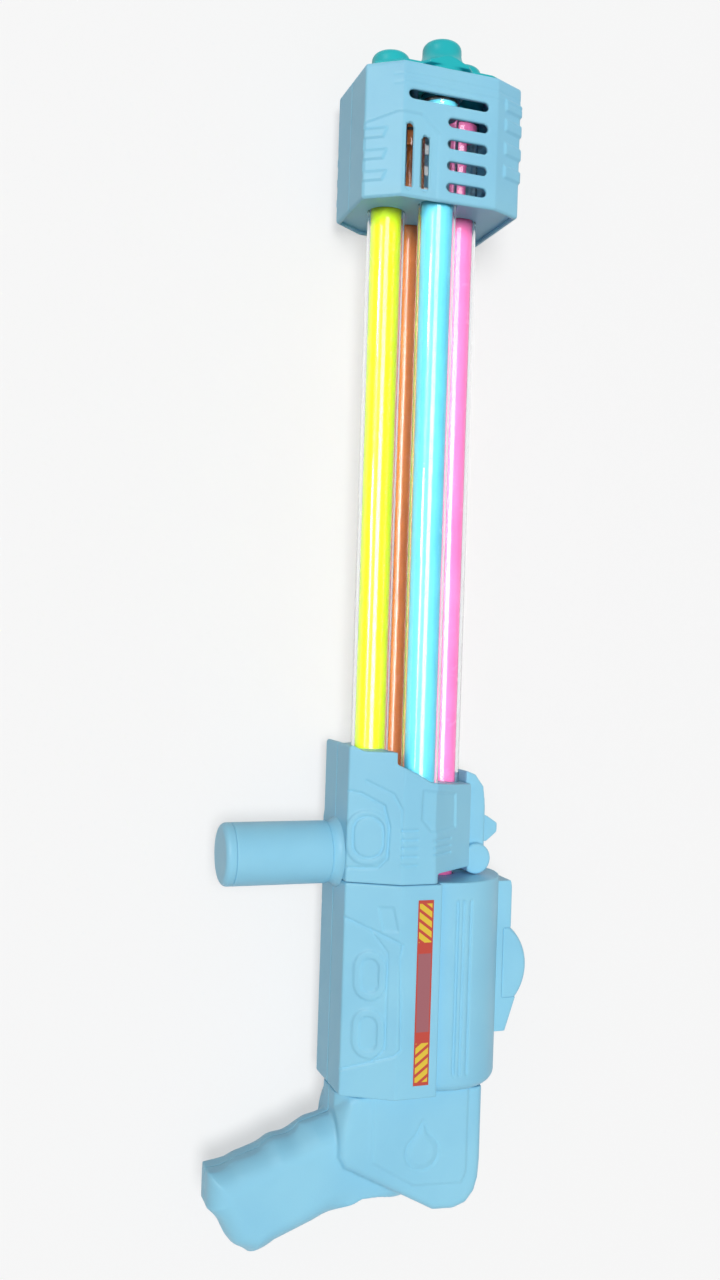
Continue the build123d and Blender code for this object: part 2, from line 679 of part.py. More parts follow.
rear_side = [(rear_outline[0][0], rear_front_y)]
rear_side += [(x, rear_front_y - back) for x, back in rear_outline]
rear_side += [(rear_outline[-1][0], rear_front_y)]
rear_screw_places = [(x, rear_front_y - back) for x, back in rear_screws]


def grip_face(inset=0.0):
    """Side outline of the pistol grip. Moved in for the hollow, its curves are short straight lines."""
    wave, end, back = ([Vector(x, rear_front_y - y) for x, y in points]
                       for points in (finger_wave, grip_end, grip_back))
    curves = [Spline(*wave), Spline(*end, back[0])]
    if inset:
        points = [curve @ (step / grip_steps) for curve in curves for step in range(grip_steps + 1)]
        return outline([(point.X, point.Y) for point in points + back[1:]], inset)
    return make_face(curves[0] + Line(wave[-1], end[0]) + curves[1] + Polyline(*back) + Line(back[-1], wave[0]))


def grip_bar(half, width, radius):
    """Round-cornered bar along the grip, which rounds the grip's edges."""
    centre = (grip_middle[0], rear_front_y - grip_middle[1], 0)
    plane = Plane(origin=centre, x_dir=(0, 0, 1), z_dir=(-1, 0, 0))
    bar = plane * extrude(RectangleRounded(2 * half, width, radius), amount=BIG / 10, both=True)
    return bar.rotate(Axis(centre, (0, 0, 1)), grip_tilt)


def rear_parts():
    """The two rear housing shells, each with half of the pistol grip."""
    frame = side_on(rear_side, rear_half)
    faces = frame.faces().filter_by(Axis.Z)
    frame = fillet(faces.edges().filter_by(Axis.X, reverse=True), rear_round)
    grip = extrude(grip_face(), amount=grip_half, both=True) & grip_bar(grip_half, grip_width, grip_round)
    outer = frame + grip
    hollow = side_on(rear_side, rear_half - shell_wall, shell_wall)
    grip_hollow = extrude(grip_face(shell_wall), amount=grip_half, both=True)
    grip_hollow &= grip_bar(grip_half - shell_wall, grip_width - 2 * shell_wall, grip_round - shell_wall)
    neck_low = rear_front_y - shell_wall
    lip_high = mid_rear_y + shell_wall + fit_gap + spigot_lip
    neck = across(spigot_section, neck_low, lip_high)
    neck += across(spigot_section, mid_rear_y + shell_wall + fit_gap, lip_high, -spigot_lip)
    outer += neck
    shell = outer - hollow - grip_hollow
    shell -= across(spigot_section, neck_low - 1, lip_high + 1, shell_wall)
    shell = screwed(shell, outer, rear_screw_places)
    return {"rear_body_left": left_of(shell), "rear_body_right": right_of(shell)}


# The whole model

def all_pieces():
    """Every node by name, around the bundle's middle."""
    pieces = {}
    pieces.update(head_parts())
    pieces["nozzle_cap"] = nozzle_cap()
    pieces["nozzle_seals"] = nozzle_seals()
    for colour, (x, z) in BARRELS.items():
        pieces["barrel_" + colour] = barrel(x, z)
        pieces["plunger_" + colour] = plunger(x, z)
    pieces["barrel_bushes"] = barrel_bushes()
    pieces["piston_seals"] = piston_seals()
    pieces.update(front_parts())
    pieces["top_rail"] = top_rail()
    pieces["front_sight"] = front_sight()
    pieces.update(side_handle())
    pieces.update(mid_parts())
    pieces.update(labels())
    pieces["rod_yoke"] = yoke()
    pieces["rod_end_screws"] = rod_end_screws()
    pieces.update(drum_covers())
    pieces.update(rear_sight())
    pieces.update(rear_parts())
    pieces["head_screws"] = [screw(x, y) for x, y in head_screw_places]
    pieces["front_body_screws"] = [screw(x, y) for x, y in front_screw_places]
    pieces["mid_body_screws"] = [screw(x, y) for x, y in mid_screw_places]
    pieces["drum_screws"] = [screw(x, y) for x, y in drum_screw_places]
    pieces["rear_body_screws"] = [screw(x, y) for x, y in rear_screw_places]
    return pieces


def write_all():
    """Shift the pieces to the row's origin, write them and print what the record needs."""
    pieces = all_pieces()
    groups = {}
    for name, shape in pieces.items():
        groups[name] = Compound(shape) if isinstance(shape, list) else shape
    box = Compound([solid for group in groups.values() for solid in group.solids()]).bounding_box()
    shift = Pos(-(box.min.X + box.max.X) / 2, -(box.min.Y + box.max.Y) / 2, -box.min.Z)
    os.makedirs("parts", exist_ok=True)
    for name, group in groups.items():
        export_step(shift * group, os.path.join("parts", name + ".step"))
    move = shift.position
    print("shift", round(move.X, 4), round(move.Y, 4), round(move.Z, 4))
    print("size", round(box.size.X, 3), round(box.size.Y, 3), round(box.size.Z, 3))
    print("pump travel", round(travel, 3))
    print("rest face", head_offset + move.X, (head_rear_y + head_front_y) / 2 + move.Y, 0)
    handle_wall_length = handle_length - collar_height + cap_height - cap_round
    handle_middle = -belly - collar_height - handle_wall_length / 2
    print("side handle", handle_middle + move.X, handle_y + move.Y, move.Z, handle_wall_length)
    print("nozzle tip", nozzle_top_y + move.Y, "nodes", len(groups))


write_all()
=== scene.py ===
"""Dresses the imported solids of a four-barrel pull-and-push water squirter and sets it up for a picture.

The squirter lies on its right side: +Y runs to the nozzles, +X to the sights and +Z up to its left side.
Sizes in the classes are millimetres measured from the middle of the barrel bundle.
"""
import logging
import math
from dataclasses import dataclass, field
from enum import Enum
from typing import Callable, Sequence

import bmesh
import bpy
import numpy as np
from mathutils import Matrix, Vector


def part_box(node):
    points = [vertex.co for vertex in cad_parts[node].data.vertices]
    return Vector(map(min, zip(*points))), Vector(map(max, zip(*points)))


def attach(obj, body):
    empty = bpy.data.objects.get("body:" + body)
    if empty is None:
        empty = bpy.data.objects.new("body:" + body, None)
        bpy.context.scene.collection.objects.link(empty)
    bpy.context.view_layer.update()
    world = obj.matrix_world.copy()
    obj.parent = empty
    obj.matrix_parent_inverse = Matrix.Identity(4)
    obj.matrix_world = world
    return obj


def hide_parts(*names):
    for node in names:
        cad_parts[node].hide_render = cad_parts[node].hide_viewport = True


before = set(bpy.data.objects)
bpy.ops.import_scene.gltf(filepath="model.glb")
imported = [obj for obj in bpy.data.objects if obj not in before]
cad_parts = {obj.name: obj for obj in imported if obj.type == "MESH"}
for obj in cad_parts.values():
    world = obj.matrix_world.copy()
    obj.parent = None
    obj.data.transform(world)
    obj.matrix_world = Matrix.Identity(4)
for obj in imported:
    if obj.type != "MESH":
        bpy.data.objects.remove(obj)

MM = 0.001
CREASE = math.radians(40)
WELD = 2e-6              # metres within which loose vertices of a solid's mesh are one
LOG = logging.getLogger("squirter")
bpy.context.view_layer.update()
Point2 = tuple[float, float]


class Side(Enum):
    """Which half of a moulding that is split down the middle."""
    LEFT = 1
    RIGHT = -1


class Body(Enum):
    """The two halves of the pump that move against each other."""
    FRONT = "front"
    REAR = "rear"


@dataclass(frozen=True)
class Bundle:
    """Middle of the barrel bundle, in metres in the frame."""
    x: float
    y: float
    z: float

    @classmethod
    def measured(cls, seam: float = -115.3) -> "Bundle":
        """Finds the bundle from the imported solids.

        Args:
            seam: Station of the middle housing's front face, in millimetres.

        Returns:
            The bundle's middle.
        """
        lime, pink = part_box("barrel_lime"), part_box("barrel_pink")
        orange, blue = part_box("barrel_orange"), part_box("barrel_blue")
        x = (lime[0][0] + pink[1][0]) / 2
        z = (orange[0][2] + blue[1][2]) / 2
        return cls(x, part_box("mid_body_left")[1][1] - seam * MM, z)

    def at(self, x: float, y: float, z: float) -> Vector:
        """Turns a place about the bundle into one in the frame, in metres."""
        return Vector((self.x + x * MM, self.y + y * MM, self.z + z * MM))

    def local(self, points: np.ndarray) -> np.ndarray:
        """Turns places in the frame into millimetres about the bundle."""
        return (points - np.array((self.x, self.y, self.z))) / MM


HOME = Bundle.measured()


# Mesh tools

def linked(name: str, mesh: bpy.types.Mesh) -> bpy.types.Object:
    """Makes a scene object of a mesh."""
    piece = bpy.data.objects.new(name, mesh)
    bpy.context.scene.collection.objects.link(piece)
    return piece


def from_bmesh(name: str, shape: bmesh.types.BMesh) -> bpy.types.Object:
    """Makes a scene object of a bmesh, with its faces pointing outwards.

    Args:
        name: The object's name.
        shape: The bmesh, which is freed.

    Returns:
        The object.
    """
    bmesh.ops.remove_doubles(shape, verts=shape.verts, dist=1e-7)
    bmesh.ops.recalc_face_normals(shape, faces=shape.faces)
    mesh = bpy.data.meshes.new(name)
    shape.to_mesh(mesh)
    shape.free()
    return linked(name, mesh)


def discard(*pieces: bpy.types.Object) -> None:
    """Removes helper objects and their meshes."""
    for piece in pieces:
        data = piece.data
        bpy.data.objects.remove(piece)
        if data and data.users == 0:
            bpy.data.meshes.remove(data)


def baked(piece: bpy.types.Object) -> bpy.types.Object:
    """Turns a piece's modifiers into plain mesh and removes them.

    Args:
        piece: The object to bake.

    Returns:
        The same object.
    """
    graph = bpy.context.evaluated_depsgraph_get()
    mesh = bpy.data.meshes.new_from_object(piece.evaluated_get(graph))
    piece.modifiers.clear()
    old = piece.data
    piece.data = mesh
    if old.users == 0:
        bpy.data.meshes.remove(old)
    return piece


def copied(node: str, name: str) -> bpy.types.Object:
    """Copies a solid's mesh and joins its loose triangles.

    Args:
        node: The solid's name.
        name: The new piece's name.

    Returns:
        The new piece.
    """
    shape = bmesh.new()
    shape.from_mesh(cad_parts[node].data)
    bmesh.ops.remove_doubles(shape, verts=shape.verts, dist=WELD)
    mesh = bpy.data.meshes.new(name)
    shape.to_mesh(mesh)
    shape.free()
    mesh.materials.clear()
    return linked(name, mesh)


def combined(piece: bpy.types.Object, others: Sequence[bpy.types.Object], operation: str) -> bpy.types.Object:
    """Joins or cuts a piece with helpers, which are then removed.

    Args:
        piece: The piece that changes.
        others: Closed helper shapes.
        operation: UNION or DIFFERENCE.

    Returns:
        The same piece.
    """
    for other in others:
        step = piece.modifiers.new("shape", "BOOLEAN")
        step.operation, step.solver, step.object = operation, "EXACT", other
        step.use_self = True
    baked(piece)
    discard(*others)
    return piece


def softened(piece: bpy.types.Object, voxel: float, rounds: int) -> bpy.types.Object:
    """Gives a piece an even skin with soft moulded edges.

    Args:
        piece: The piece.
        voxel: Size of the skin's faces, in millimetres.
        rounds: How often the skin is smoothed.

    Returns:
        The same piece.
    """
    skin = piece.modifiers.new("skin", "REMESH")
    skin.mode, skin.voxel_size, skin.use_smooth_shade = "VOXEL", voxel * MM, True
    ease = piece.modifiers.new("ease", "SMOOTH")
    ease.factor, ease.iterations = 0.5, rounds
    return baked(piece)


def creased(piece: bpy.types.Object) -> bpy.types.Object:
    """Shades a piece smooth except at its sharp edges."""
    piece.data.shade_smooth()
    piece.data.set_sharp_from_angle(angle=CREASE)
    return piece


def turned(name: str, profile: Sequence[Point2], centre: Vector, axis: Vector,
           steps: int = 96) -> bpy.types.Object:
    """Shape turned about an axis from a closed half section.

    Args:
        name: The piece's name.
        profile: Radius and distance along the axis, in millimetres, as a closed loop or from axis to axis.
        centre: The place where the distance is 0, in metres.
        axis: The axis's direction.
        steps: Number of faces round it.

    Returns:
        The piece, smooth except at its sharp edges.
    """
    frame_turn = axis.to_track_quat("Z", "Y").to_matrix().to_4x4()
    shape = bmesh.new()
    rings = []
    for radius, along in profile:
        if radius < 1e-6:
            rings.append([shape.verts.new((0, 0, along * MM))])
            continue
        angles = (2 * math.pi * step / steps for step in range(steps))
        rings.append([shape.verts.new((radius * MM * math.cos(a), radius * MM * math.sin(a), along * MM))
                      for a in angles])
    closed = profile[0][0] > 1e-6
    pairs = list(zip(rings, rings[1:] + rings[:1])) if closed else list(zip(rings, rings[1:]))
    for near, far in pairs:
        for step in range(steps):
            after = (step + 1) % steps
            corners = [near[step % len(near)], near[after % len(near)],
                       far[after % len(far)], far[step % len(far)]]
            unique = list(dict.fromkeys(corners))
            if len(unique) > 2:
                shape.faces.new(unique)
    shape.transform(Matrix.Translation(centre) @ frame_turn)
    return creased(from_bmesh(name, shape))


def arc(centre: Point2, radius: float, start: float, end: float, steps: int = 6) -> list[Point2]:
    """Points along an arc of a profile.

    Args:
        centre: Radius and distance of the arc's centre.
        radius: The arc's radius.
        start: Angle of its first point, in degrees.
        end: Angle of its last point.
        steps: Number of straight steps.

    Returns:
        The points.
    """
    angles = (math.radians(start + (end - start) * step / steps) for step in range(steps + 1))
    return [(centre[0] + radius * math.cos(a), centre[1] + radius * math.sin(a)) for a in angles]


# Geometry Nodes

class Repeater:
    """Geometry Nodes that set copies of one unit on given places."""

    def __init__(self) -> None:
        self.tree = self._built()

    def _built(self) -> bpy.types.GeometryNodeTree:
        """Builds the tree, which sets a copy on each point of the object that carries it.

        Returns:
            The tree.
        """
        tree = bpy.data.node_groups.new("Copies on places", "GeometryNodeTree")
        face = tree.interface
        face.new_socket("Geometry", in_out="INPUT", socket_type="NodeSocketGeometry")
        face.new_socket("Unit", in_out="INPUT", socket_type="NodeSocketObject")
        face.new_socket("Turn", in_out="INPUT", socket_type="NodeSocketVector")
        face.new_socket("Material", in_out="INPUT", socket_type="NodeSocketMaterial")
        face.new_socket("Geometry", in_out="OUTPUT", socket_type="NodeSocketGeometry")
        nodes, links = tree.nodes, tree.links
        given, result = nodes.new("NodeGroupInput"), nodes.new("NodeGroupOutput")
        unit, copies = nodes.new("GeometryNodeObjectInfo"), nodes.new("GeometryNodeInstanceOnPoints")
        real, finish = nodes.new("GeometryNodeRealizeInstances"), nodes.new("GeometryNodeSetMaterial")
        unit.transform_space = "ORIGINAL"
        links.new(given.outputs["Unit"], unit.inputs["Object"])
        links.new(unit.outputs["Geometry"], copies.inputs["Instance"])
        links.new(given.outputs["Turn"], copies.inputs["Rotation"])
        links.new(given.outputs["Geometry"], copies.inputs["Points"])
        links.new(copies.outputs["Instances"], real.inputs["Geometry"])
        links.new(real.outputs["Geometry"], finish.inputs["Geometry"])
        links.new(given.outputs["Material"], finish.inputs["Material"])
        links.new(finish.outputs["Geometry"], result.inputs["Geometry"])
        return tree

    def _run(self, piece: bpy.types.Object, values: dict) -> bpy.types.Object:
        """Runs the tree on an object with named values and bakes it.

        Args:
            piece: The object that carries it.
            values: Value of each named input.

        Returns:
            The baked object.
        """
        step = piece.modifiers.new("copies", "NODES")
        step.node_group = self.tree
        for socket in self.tree.interface.items_tree:
            if socket.in_out == "INPUT" and socket.name in values:
                step[socket.identifier] = values[socket.name]
        baked(piece)
        return creased(piece)

    def on_places(self, name: str, unit: bpy.types.Object, places: Sequence[Vector],
                  turn: Sequence[float] = (0, 0, 0),
                  material: bpy.types.Material | None = None) -> bpy.types.Object:
        """Sets copies of a unit on given places.

        Args:
            name: The piece's name.
            unit: The unit, about the origin. It is removed afterwards.
            places: Where the copies go.
            turn: Turn of each copy, in radians.
            material: The copies' finish.

        Returns:
            The piece.
        """
        mesh = bpy.data.meshes.new(name)
        mesh.from_pydata([tuple(place) for place in places], [], [])
        piece = linked(name, mesh)
        self._run(piece, {"Unit": unit, "Turn": tuple(turn), "Material": material})
        discard(unit)
        return piece


COPIES = Repeater()


# Relief in the outside of a moulding

@dataclass(frozen=True)
class Groove:
    """Line pressed into a surface, along X and Y points of the side view."""
    path: tuple[Point2, ...]
    width: float = 1.5
    depth: float = 0.7
    closed: bool = False

    def offset(self, x: np.ndarray, y: np.ndarray) -> np.ndarray:
        """How far each point moves out, in millimetres."""
        gap = self.width / 2 - path_distance(x, y, self.path, self.closed)
        return -self.depth * np.clip(gap / (self.width * 0.3), 0, 1)


@dataclass(frozen=True)
class Panel:
    """Raised or sunk area inside X and Y points of the side view."""
    path: tuple[Point2, ...]
    height: float = 0.6
    edge: float = 0.8

    def offset(self, x: np.ndarray, y: np.ndarray) -> np.ndarray:
        """How far each point moves out, in millimetres."""
        distance = path_distance(x, y, self.path, True)
        signed = np.where(inside(x, y, self.path), distance, -distance)
        return self.height * np.clip(signed / self.edge + 0.5, 0, 1)


def path_distance(x: np.ndarray, y: np.ndarray, path: Sequence[Point2], closed: bool) -> np.ndarray:
    """Distance from points to a line of straight runs.

    Args:
        x: The points' X.
        y: The points' Y.
        path: The line's corners.
        closed: Whether the last corner joins the first.

    Returns:
        The distances.
    """
    best = np.full(x.shape, 1e9)
    corners = list(path) + ([path[0]] if closed else [])
    for (ax, ay), (bx, by) in zip(corners, corners[1:]):
        dx, dy = bx - ax, by - ay
        along = np.clip(((x - ax) * dx + (y - ay) * dy) / (dx * dx + dy * dy), 0, 1)
        best = np.minimum(best, np.hypot(x - ax - along * dx, y - ay - along * dy))
    return best


def inside(x: np.ndarray, y: np.ndarray, path: Sequence[Point2]) -> np.ndarray:
    """Whether each point lies inside a closed outline.

    Args:
        x: The points' X.
        y: The points' Y.
        path: The outline's corners.

    Returns:
        A truth value for each point.
    """
    result = np.zeros(x.shape, bool)
    for (ax, ay), (bx, by) in zip(path, list(path[1:]) + [path[0]]):
        if ay == by:
            continue
        crosses = ((ay > y) != (by > y)) & (x < (bx - ax) * (y - ay) / (by - ay) + ax)
        result ^= crosses
    return result


def pressed(piece: bpy.types.Object, features: Sequence[Groove | Panel],
            least_z: float = 8.0) -> bpy.types.Object:
    """Presses relief into the outside of a moulding, on whichever side it is.

    Args:
        piece: The moulding, with an even skin.
        features: The relief, by its places in the side view.
        least_z: Points nearer than this to the middle stay as they are.

    Returns:
        The same piece.
    """
    mesh = piece.data
    count = len(mesh.vertices)
    places, normals = np.empty(count * 3), np.empty(count * 3)
    mesh.vertices.foreach_get("co", places)
    mesh.vertices.foreach_get("normal", normals)
    places, normals = places.reshape(-1, 3), normals.reshape(-1, 3)
    local = HOME.local(places)
    facing = normals[:, 2] * np.sign(local[:, 2])
    chosen = (facing > 0.2) & (np.abs(local[:, 2]) > least_z)
    x, y = local[chosen, 0], local[chosen, 1]
    move = np.zeros(x.shape)
    for feature in features:
        move += feature.offset(x, y)
    places[chosen] += normals[chosen] * move[:, None] * MM
    mesh.vertices.foreach_set("co", places.ravel())
    mesh.update()
    mesh.shade_smooth()
    return piece


def flowing(path: Sequence[Point2], steps: int = 8) -> list[Point2]:
    """Smooth line through corners.

    Args:
        path: The corners.
        steps: Straight steps from one corner to the next.

    Returns:
        Points along the line.
    """
    corners = np.array([path[0], *path, path[-1]])
    points: list[Point2] = []
    for before, near, far, after in zip(corners, corners[1:], corners[2:], corners[3:]):
        for t in np.linspace(0, 1, steps, endpoint=False):
            place = 0.5 * (2 * near + (far - before) * t + (2 * before - 5 * near + 4 * far - after) * t ** 2
                           + (3 * near - before - 3 * far + after) * t ** 3)
            points.append((float(place[0]), float(place[1])))
    return points + [tuple(path[-1])]


def oval(x: float, y: float, width: float, length: float, steps: int = 10) -> tuple[Point2, ...]:
    """Outline with round ends along the barrels.

    Args:
        x: Its middle's X.
        y: Its middle's Y.
        width: Its size in X.
        length: Its size in Y.
        steps: Straight steps round each end.

    Returns:
        The outline.
    """
    half, run = width / 2, length / 2 - width / 2
    ends = arc((x, y + run), half, 0, 180, steps) + arc((x, y - run), half, 180, 360, steps)
    return tuple(ends)


# Finishes

def nodes_of(name: str) -> tuple[bpy.types.Material, bpy.types.ShaderNodeTree, bpy.types.ShaderNode]:
    """Starts a material.

    Args:
        name: The material's name.

    Returns:
        The material, its tree and its Principled node.
    """
    material = bpy.data.materials.new(name)
    material.use_nodes = True
    tree = material.node_tree
    return material, tree, tree.nodes["Principled BSDF"]


def moulded_skin() -> bpy.types.ShaderNodeTree:
    """Shader group for moulded plastic: slow colour drift, fine grain, and handling marks.

    Returns:
        The group.
    """
    tree = bpy.data.node_groups.new("Moulded skin", "ShaderNodeTree")
    face = tree.interface
    defaults = (("Colour", "NodeSocketColor", (0.3, 0.7, 0.9, 1)),
                ("Deep Colour", "NodeSocketColor", (0.2, 0.6, 0.8, 1)),
                ("Roughness", "NodeSocketFloat", 0.4), ("Grain Scale", "NodeSocketFloat", 1500.0),
                ("Grain Depth", "NodeSocketFloat", 0.00003), ("Marks", "NodeSocketFloat", 0.1))
    for name, kind, value in defaults:
        face.new_socket(name, in_out="INPUT", socket_type=kind).default_value = value
    for name, kind in (("Color", "NodeSocketColor"), ("Roughness", "NodeSocketFloat"),
                       ("Normal", "NodeSocketVector")):
        face.new_socket(name, in_out="OUTPUT", socket_type=kind)
    nodes, links = tree.nodes, tree.links
    given, result = nodes.new("NodeGroupInput"), nodes.new("NodeGroupOutput")
    place = nodes.new("ShaderNodeTexCoord")
    drift, grain, marks = (nodes.new("ShaderNodeTexNoise") for _ in range(3))
    drift.inputs["Scale"].default_value = 26.0
    drift.inputs["Detail"].default_value = 3.0
    marks.inputs["Scale"].default_value = 95.0
    marks.inputs["Detail"].default_value = 6.0
    marks.inputs["Distortion"].default_value = 1.2
    grain.inputs["Detail"].default_value = 2.0
    for node in (drift, grain, marks):
        links.new(place.outputs["Object"], node.inputs["Vector"])
    links.new(given.outputs["Grain Scale"], grain.inputs["Scale"])
    level = nodes.new("ShaderNodeMapRange")
    level.inputs["From Min"].default_value, level.inputs["From Max"].default_value = 0.35, 0.65
    links.new(drift.outputs["Fac"], level.inputs["Value"])
    mix = nodes.new("ShaderNodeMix")
    mix.data_type = "RGBA"
    links.new(level.outputs["Result"], mix.inputs["Factor"])
    links.new(given.outputs["Colour"], mix.inputs["A"])
    links.new(given.outputs["Deep Colour"], mix.inputs["B"])
    links.new(mix.outputs["Result"], result.inputs["Color"])
    worn = nodes.new("ShaderNodeMath")
    worn.operation = "MULTIPLY_ADD"
    links.new(marks.outputs["Fac"], worn.inputs[0])
    links.new(given.outputs["Marks"], worn.inputs[1])
    links.new(given.outputs["Roughness"], worn.inputs[2])
    links.new(worn.outputs["Value"], result.inputs["Roughness"])
    bump = nodes.new("ShaderNodeBump")
    bump.inputs["Strength"].default_value = 1.0
    links.new(given.outputs["Grain Depth"], bump.inputs["Distance"])
    links.new(grain.outputs["Fac"], bump.inputs["Height"])
    links.new(bump.outputs["Normal"], result.inputs["Normal"])
    return tree


SKIN = moulded_skin()


@dataclass(frozen=True)
class MouldedPlastic:
    """Satin or glossy moulded plastic."""
    name: str
    colour: tuple[float, float, float]
    deep: tuple[float, float, float]
    roughness: float = 0.38
    grain: float = 1500.0
    depth: float = 0.00003
    marks: float = 0.12
    coat: float = 0.0
    glow: float = 0.0

    def make(self) -> bpy.types.Material:
        """Builds the material."""
        material, tree, shader = nodes_of(self.name)
        skin = tree.nodes.new("ShaderNodeGroup")
        skin.node_tree = SKIN
        skin.inputs["Colour"].default_value = (*self.colour, 1)
        skin.inputs["Deep Colour"].default_value = (*self.deep, 1)
        skin.inputs["Roughness"].default_value = self.roughness
        skin.inputs["Grain Scale"].default_value = self.grain
        skin.inputs["Grain Depth"].default_value = self.depth
        skin.inputs["Marks"].default_value = self.marks
        tree.links.new(skin.outputs["Color"], shader.inputs["Base Color"])
        tree.links.new(skin.outputs["Roughness"], shader.inputs["Roughness"])
        tree.links.new(skin.outputs["Normal"], shader.inputs["Normal"])
        shader.inputs["Coat Weight"].default_value = self.coat
        shader.inputs["Coat Roughness"].default_value = 0.08
        if self.glow:
            shader.inputs["Subsurface Weight"].default_value = self.glow
            shader.inputs["Subsurface Scale"].default_value = 0.002
            shader.inputs["Subsurface Radius"].default_value = (1.0, 1.0, 1.0)
        return material


@dataclass(frozen=True)
class ClearTube:
    """Clear tube that lets the lamps through to the rod inside."""
    name: str = "Clear barrel"
    colour: tuple[float, float, float] = (0.97, 0.99, 1.0)
    roughness: float = 0.03
    haze: float = 0.09

    def make(self) -> bpy.types.Material:
        """Builds the material."""
        material, tree, shader = nodes_of(self.name)
        nodes, links = tree.nodes, tree.links
        shader.inputs["Base Color"].default_value = (*self.colour, 1)
        shader.inputs["Transmission Weight"].default_value = 1.0
        shader.inputs["IOR"].default_value = 1.42
        place, haze = nodes.new("ShaderNodeTexCoord"), nodes.new("ShaderNodeTexNoise")
        haze.inputs["Scale"].default_value = 140.0
        haze.inputs["Detail"].default_value = 4.0
        level = nodes.new("ShaderNodeMapRange")
        level.inputs["From Min"].default_value, level.inputs["From Max"].default_value = 0.4, 0.8
        level.inputs["To Min"].default_value = self.roughness
        level.inputs["To Max"].default_value = self.roughness + self.haze
        links.new(place.outputs["Object"], haze.inputs["Vector"])
        links.new(haze.outputs["Fac"], level.inputs["Value"])
        links.new(level.outputs["Result"], shader.inputs["Roughness"])
        path, clear, mix = (nodes.new(kind) for kind in
                            ("ShaderNodeLightPath", "ShaderNodeBsdfTransparent", "ShaderNodeMixShader"))
        links.new(path.outputs["Is Shadow Ray"], mix.inputs["Fac"])
        links.new(shader.outputs["BSDF"], mix.inputs[1])
        links.new(clear.outputs["BSDF"], mix.inputs[2])
        links.new(mix.outputs["Shader"], nodes["Material Output"].inputs["Surface"])
        return material


@dataclass(frozen=True)
class StickerFilm:
    """Printed film: red, with yellow slanting stripes at both ends and a plain dusky middle."""
    name: str = "Striped sticker"
    red: tuple[float, float, float] = (0.62, 0.085, 0.06)
    yellow: tuple[float, float, float] = (0.86, 0.62, 0.06)
    dusky: tuple[float, float, float] = (0.42, 0.15, 0.17)
    middle_x: float = 0.8
    middle_y: float = -166.0
    half_width: float = 3.9
    half_length: float = 43.7
    stripe_zone: float = 20.0
    bare_half: float = 18.5
    pitch: float = 4.7
    share: float = 0.64
    slope: float = 0.75

    def make(self) -> bpy.types.Material:
        """Builds the material."""
        material, tree, shader = nodes_of(self.name)
        nodes, links = tree.nodes, tree.links

        def sums(operation: str, first, second, third=None):
            """Adds a Math node and returns its result."""
            node = nodes.new("ShaderNodeMath")
            node.operation = operation
            for index, value in enumerate((first, second, third)):
                if value is None:
                    continue
                if isinstance(value, (int, float)):
                    node.inputs[index].default_value = value
                else:
                    links.new(value, node.inputs[index])
            return node.outputs["Value"]

        place, split = nodes.new("ShaderNodeTexCoord"), nodes.new("ShaderNodeSeparateXYZ")
        links.new(place.outputs["Object"], split.inputs["Vector"])
        middle = HOME.at(self.middle_x, self.middle_y, 0)
        across = sums("MULTIPLY", sums("SUBTRACT", split.outputs["X"], middle.x), 1000.0)
        along = sums("MULTIPLY", sums("SUBTRACT", split.outputs["Y"], middle.y), 1000.0)
        far = sums("ABSOLUTE", along, None)
        slant = sums("DIVIDE", sums("MULTIPLY_ADD", across, self.slope, far), self.pitch)
        stripe = sums("LESS_THAN", sums("FRACT", slant, None), self.share)
        zone = sums("GREATER_THAN", far, self.half_length - self.stripe_zone)
        margin = sums("LESS_THAN", sums("ABSOLUTE", across, None), self.half_width - 0.7)
        end = sums("LESS_THAN", far, self.half_length - 1.6)
        yellow = sums("MULTIPLY", sums("MULTIPLY", stripe, zone), sums("MULTIPLY", margin, end))
        bare = sums("MULTIPLY", sums("LESS_THAN", far, self.bare_half), margin)
        ground, mix = nodes.new("ShaderNodeMix"), nodes.new("ShaderNodeMix")
        ground.data_type = mix.data_type = "RGBA"
        ground.inputs["A"].default_value = (*self.red, 1)
        ground.inputs["B"].default_value = (*self.dusky, 1)
        mix.inputs["B"].default_value = (*self.yellow, 1)
        links.new(bare, ground.inputs["Factor"])
        links.new(ground.outputs["Result"], mix.inputs["A"])
        links.new(yellow, mix.inputs["Factor"])
        skin = nodes.new("ShaderNodeGroup")
        skin.node_tree = SKIN
        links.new(mix.outputs["Result"], skin.inputs["Colour"])
        links.new(mix.outputs["Result"], skin.inputs["Deep Colour"])
        skin.inputs["Roughness"].default_value = 0.28
        skin.inputs["Grain Depth"].default_value = 0.00001
        links.new(skin.outputs["Color"], shader.inputs["Base Color"])
        links.new(skin.outputs["Roughness"], shader.inputs["Roughness"])
        links.new(skin.outputs["Normal"], shader.inputs["Normal"])
        shader.inputs["Coat Weight"].default_value = 0.3
        return material


@dataclass(frozen=True)
class PlatedSteel:
    """Zinc-plated screw steel with fine marks."""
    name: str = "Plated screw steel"

    def make(self) -> bpy.types.Material:
        """Builds the material."""
        material, tree, shader = nodes_of(self.name)
        skin = tree.nodes.new("ShaderNodeGroup")
        skin.node_tree = SKIN
        skin.inputs["Colour"].default_value = (0.62, 0.62, 0.60, 1)
        skin.inputs["Deep Colour"].default_value = (0.48, 0.48, 0.50, 1)
        skin.inputs["Roughness"].default_value = 0.25
        skin.inputs["Grain Scale"].default_value = 3000.0
        tree.links.new(skin.outputs["Color"], shader.inputs["Base Color"])
        tree.links.new(skin.outputs["Roughness"], shader.inputs["Roughness"])
        tree.links.new(skin.outputs["Normal"], shader.inputs["Normal"])
        shader.inputs["Metallic"].default_value = 1.0
        return material


